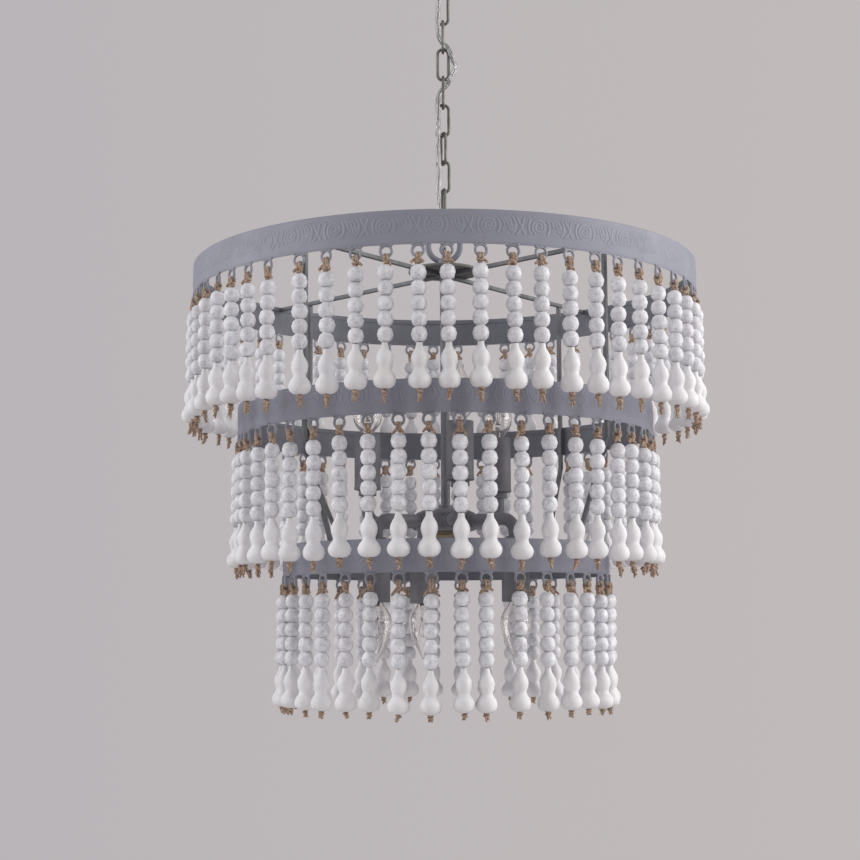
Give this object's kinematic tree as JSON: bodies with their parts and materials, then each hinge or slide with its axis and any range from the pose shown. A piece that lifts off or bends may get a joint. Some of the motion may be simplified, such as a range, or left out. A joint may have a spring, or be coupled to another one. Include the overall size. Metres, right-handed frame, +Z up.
{
  "type": "beaded chandelier",
  "caption": "Chain-hung chandelier with round metal rings in tiers, hanging strands of pale beads with gourd drops, and a cluster of candle lamps that point up and down.",
  "frame": {"origin": "centre of the mounting strap's top face, on the ceiling", "axes": "+Z up, out of the strap into the ceiling; -Y towards the viewer of the picture; +X to the right"},
  "size_m": [0.5174, 0.5174, 0.8126],
  "materials": {
    "canopy_metal": "satin zinc",
    "chain_metal": "worn zinc",
    "clear_cord": "clear, glossy",
    "hub_metal": "dark grey, satin",
    "ring_metal": "blue-grey zinc, embossed",
    "beads": "whitewashed with fine grey crackle",
    "lamp_metal": "dark grey, satin",
    "candle_sleeve": "dark grey, satin",
    "bulb_glass": "clear",
    "gourds": "smooth cream white",
    "jute": "twisted natural jute",
    "bulb_cap": "plated screw cap"
  },
  "bodies": {
    "ceiling_fitting": {"canopy": "canopy_metal", "mounting_strap": "canopy_metal", "canopy_screw_left": "canopy_metal", "canopy_screw_right": "canopy_metal", "canopy_loop": "chain_metal", "supply_cord": "clear_cord"},
    "link_1": {"chain_link_1": "chain_metal"},
    "link_2": {"chain_link_2": "chain_metal"},
    "link_3": {"chain_link_3": "chain_metal"},
    "link_4": {"chain_link_4": "chain_metal"},
    "link_5": {"chain_link_5": "chain_metal"},
    "link_6": {"chain_link_6": "chain_metal"},
    "link_7": {"chain_link_7": "chain_metal"},
    "link_8": {"chain_link_8": "chain_metal"},
    "link_9": {"chain_link_9": "chain_metal"},
    "fixture": {"hang_loop": "chain_metal", "hub_disc": "hub_metal", "lamp_stem": "hub_metal", "lamp_hub": "hub_metal", "cross_arm_front_right": "ring_metal", "cross_arm_back_right": "ring_metal", "cross_arm_back_left": "ring_metal", "cross_arm_front_left": "ring_metal", "drop_bar_front_right": "ring_metal", "drop_bar_back_right": "ring_metal", "drop_bar_back_left": "ring_metal", "drop_bar_front_left": "ring_metal", "upper_ring": "ring_metal", "middle_ring": "ring_metal", "lower_ring": "ring_metal", "upper_strands_front_right": "beads", "upper_strands_back_right": "beads", "upper_strands_back_left": "beads", "upper_strands_front_left": "beads", "middle_strands_front_right": "beads", "middle_strands_back_right": "beads", "middle_strands_back_left": "beads", "middle_strands_front_left": "beads", "lower_strands_front_right": "beads", "lower_strands_back_right": "beads", "lower_strands_back_left": "beads", "lower_strands_front_left": "beads", "lamp_arm_up_front": "lamp_metal", "lamp_arm_up_back_right": "lamp_metal", "lamp_arm_up_left": "lamp_metal", "lamp_arm_down_front_right": "lamp_metal", "lamp_arm_down_back": "lamp_metal", "lamp_arm_down_front_left": "lamp_metal", "lamp_sleeve_up_front": "candle_sleeve", "lamp_sleeve_up_back_right": "candle_sleeve", "lamp_sleeve_up_left": "candle_sleeve", "lamp_sleeve_down_front_right": "candle_sleeve", "lamp_sleeve_down_back": "candle_sleeve", "lamp_sleeve_down_front_left": "candle_sleeve"},
    "bulb_up_front": {"bulb_up_front": "bulb_glass"},
    "bulb_up_back_right": {"bulb_up_back_right": "bulb_glass"},
    "bulb_up_left": {"bulb_up_left": "bulb_glass"},
    "bulb_down_front_right": {"bulb_down_front_right": "bulb_glass"},
    "bulb_down_back": {"bulb_down_back": "bulb_glass"},
    "bulb_down_front_left": {"bulb_down_front_left": "bulb_glass"}
  },
  "joints": [
    {"name": "link_1_swing", "type": "hinge", "parent": "ceiling_fitting", "child": "link_1", "pos_m": [0, 0, -0.0583], "axis": [1, 0, 0], "range_deg": [-10, 10], "deforming": ["supply_cord"]},
    {"name": "link_2_swing", "type": "hinge", "parent": "link_1", "child": "link_2", "pos_m": [0, 0, -0.0863], "axis": [0, 1, 0], "range_deg": [-10, 10], "deforming": ["supply_cord"]},
    {"name": "link_3_swing", "type": "hinge", "parent": "link_2", "child": "link_3", "pos_m": [0, 0, -0.1158], "axis": [1, 0, 0], "range_deg": [-10, 10], "deforming": ["supply_cord"]},
    {"name": "link_4_swing", "type": "hinge", "parent": "link_3", "child": "link_4", "pos_m": [0, 0, -0.1453], "axis": [0, 1, 0], "range_deg": [-10, 10], "deforming": ["supply_cord"]},
    {"name": "link_5_swing", "type": "hinge", "parent": "link_4", "child": "link_5", "pos_m": [0, 0, -0.1748], "axis": [1, 0, 0], "range_deg": [-10, 10], "deforming": ["supply_cord"]},
    {"name": "link_6_swing", "type": "hinge", "parent": "link_5", "child": "link_6", "pos_m": [0, 0, -0.2043], "axis": [0, 1, 0], "range_deg": [-10, 10], "deforming": ["supply_cord"]},
    {"name": "link_7_swing", "type": "hinge", "parent": "link_6", "child": "link_7", "pos_m": [0, 0, -0.2338], "axis": [1, 0, 0], "range_deg": [-10, 10], "deforming": ["supply_cord"]},
    {"name": "link_8_swing", "type": "hinge", "parent": "link_7", "child": "link_8", "pos_m": [0, 0, -0.2633], "axis": [0, 1, 0], "range_deg": [-10, 10], "deforming": ["supply_cord"]},
    {"name": "link_9_swing", "type": "hinge", "parent": "link_8", "child": "link_9", "pos_m": [0, 0, -0.2928], "axis": [1, 0, 0], "range_deg": [-10, 10], "deforming": ["supply_cord"]},
    {"name": "fixture_swing", "type": "hinge", "parent": "link_9", "child": "fixture", "pos_m": [0, 0, -0.3223], "axis": [0, 1, 0], "range_deg": [-10, 10], "deforming": ["supply_cord"]},
    {"name": "bulb_up_front_turn", "type": "hinge", "parent": "fixture", "child": "bulb_up_front", "pos_m": [0.01283, -0.08099, -0.5065], "axis": [0, 0, 1], "continuous": true},
    {"name": "bulb_up_back_right_turn", "type": "hinge", "parent": "fixture", "child": "bulb_up_back_right", "pos_m": [0.05487, 0.06094, -0.5065], "axis": [0, 0, 1], "continuous": true},
    {"name": "bulb_up_left_turn", "type": "hinge", "parent": "fixture", "child": "bulb_up_left", "pos_m": [-0.0782, 0.02466, -0.5065], "axis": [0, 0, 1], "continuous": true},
    {"name": "bulb_down_front_right_turn", "type": "hinge", "parent": "fixture", "child": "bulb_down_front_right", "pos_m": [0.06549, -0.04935, -0.735], "axis": [0, 0, -1], "continuous": true},
    {"name": "bulb_down_back_turn", "type": "hinge", "parent": "fixture", "child": "bulb_down_back", "pos_m": [-0.02329, 0.07862, -0.735], "axis": [0, 0, -1], "continuous": true},
    {"name": "bulb_down_front_left_turn", "type": "hinge", "parent": "fixture", "child": "bulb_down_front_left", "pos_m": [-0.06667, -0.04773, -0.735], "axis": [0, 0, -1], "continuous": true}
  ]
}
